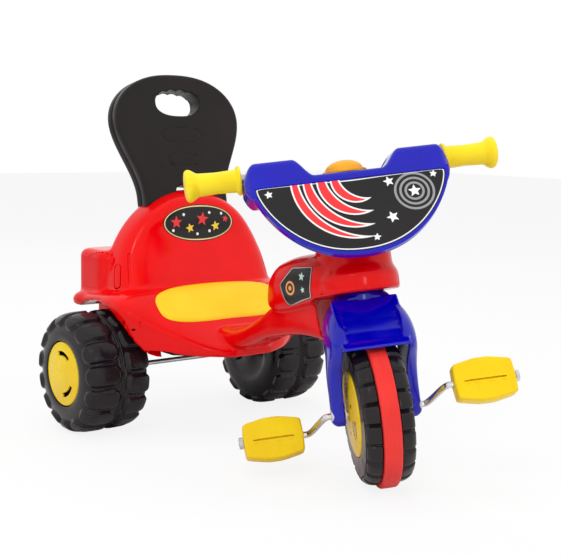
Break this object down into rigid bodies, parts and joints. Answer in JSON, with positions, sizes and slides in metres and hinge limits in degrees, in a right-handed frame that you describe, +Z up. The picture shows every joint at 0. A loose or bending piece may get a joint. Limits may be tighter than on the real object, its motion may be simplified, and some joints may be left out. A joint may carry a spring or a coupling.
{
  "type": "child's tricycle",
  "caption": "Child's pedal tricycle: moulded body with seat and backrest, raked fork with cranked front wheel, turning handlebar with front panel and horn, two wide rear wheels.",
  "frame": {"origin": "on the floor under the middle of the bounding box, with the steering turned to the rider's right as in the picture", "axes": "+Z up, -Y the direction of travel, +X the rider's left; the rear axle lies along X"},
  "size_m": [0.4714, 0.7108, 0.5655],
  "materials": {
    "red_body": "glossy red polypropylene",
    "blue_plastic": "glossy blue plastic",
    "yellow_plastic": "satin yellow plastic",
    "orange_plastic": "orange plastic",
    "black_plastic": "satin black plastic",
    "black_tyre": "blow-moulded black plastic tyre",
    "red_band": "soft red plastic tread band",
    "steel": "bright plated steel",
    "white_nylon": "white nylon"
  },
  "bodies": {
    "body": {"body_shell": "red_body", "base_pan": "black_plastic", "seat_pad": "yellow_plastic", "backrest": "black_plastic", "pan_screw_1": "steel", "pan_screw_2": "steel", "pan_screw_3": "steel", "pan_screw_4": "steel", "rear_axle": "steel", "axle_spacer_right": "white_nylon", "axle_spacer_left": "white_nylon", "axle_push_nut_right": "steel", "axle_push_nut_left": "steel", "head_bush_lower": "white_nylon", "head_bush_upper": "white_nylon"},
    "steering": {"fork": "blue_plastic", "fork_pin": "steel", "fork_bush_right": "white_nylon", "fork_bush_left": "white_nylon", "steering_stem": "steel", "stem_collar": "steel", "handlebar_clamp": "black_plastic", "clamp_bolt": "steel", "clamp_nut": "steel", "handlebar_tube": "steel", "grip_right": "yellow_plastic", "grip_left": "yellow_plastic", "front_panel": "blue_plastic", "panel_rear_cover": "blue_plastic", "panel_screw_1": "steel", "panel_screw_2": "steel", "horn_ring": "orange_plastic"},
    "front_wheel": {"front_tyre": "black_tyre", "tread_band": "red_band", "front_hub_disc_right": "yellow_plastic", "front_hub_disc_left": "yellow_plastic", "crank_axle": "steel", "pedal_push_nut_right": "steel", "pedal_push_nut_left": "steel"},
    "pedal_right": {"pedal_right": "yellow_plastic"},
    "pedal_left": {"pedal_left": "yellow_plastic"},
    "rear_wheel_right": {"rear_wheel_right": "black_tyre", "rear_hub_cap_right": "yellow_plastic"},
    "rear_wheel_left": {"rear_wheel_left": "black_tyre", "rear_hub_cap_left": "yellow_plastic"},
    "horn": {"horn_button": "orange_plastic"}
  },
  "joints": [
    {"name": "steering_turn", "type": "hinge", "parent": "body", "child": "steering", "pos_m": [0, -0.19961, 0.1022], "axis": [0, 0.2392, 0.971], "range_deg": [-13.2, 76.8]},
    {"name": "front_wheel_spin", "type": "hinge", "parent": "steering", "child": "front_wheel", "pos_m": [-0.00685, -0.21034, 0.10485], "axis": [0.8499, -0.5117, 0.1261], "continuous": true},
    {"name": "pedal_right_spin", "type": "hinge", "parent": "front_wheel", "child": "pedal_right", "pos_m": [-0.09824, -0.103, 0.05403], "axis": [0.8499, -0.5117, 0.1261], "continuous": true},
    {"name": "pedal_left_spin", "type": "hinge", "parent": "front_wheel", "child": "pedal_left", "pos_m": [0.08454, -0.31768, 0.15566], "axis": [0.8499, -0.5117, 0.1261], "continuous": true},
    {"name": "rear_wheel_right_spin", "type": "hinge", "parent": "body", "child": "rear_wheel_right", "pos_m": [-0.1785, 0.26039, 0.09467], "axis": [1, 0, 0], "continuous": true},
    {"name": "rear_wheel_left_spin", "type": "hinge", "parent": "body", "child": "rear_wheel_left", "pos_m": [0.1785, 0.26039, 0.09467], "axis": [1, 0, 0], "continuous": true},
    {"name": "horn_press", "type": "slide", "parent": "steering", "child": "horn", "axis": [0, -0.2392, -0.971], "range_m": [0, 0.004], "stiffness_N_per_m": 400, "springref_m": -0.001}
  ]
}
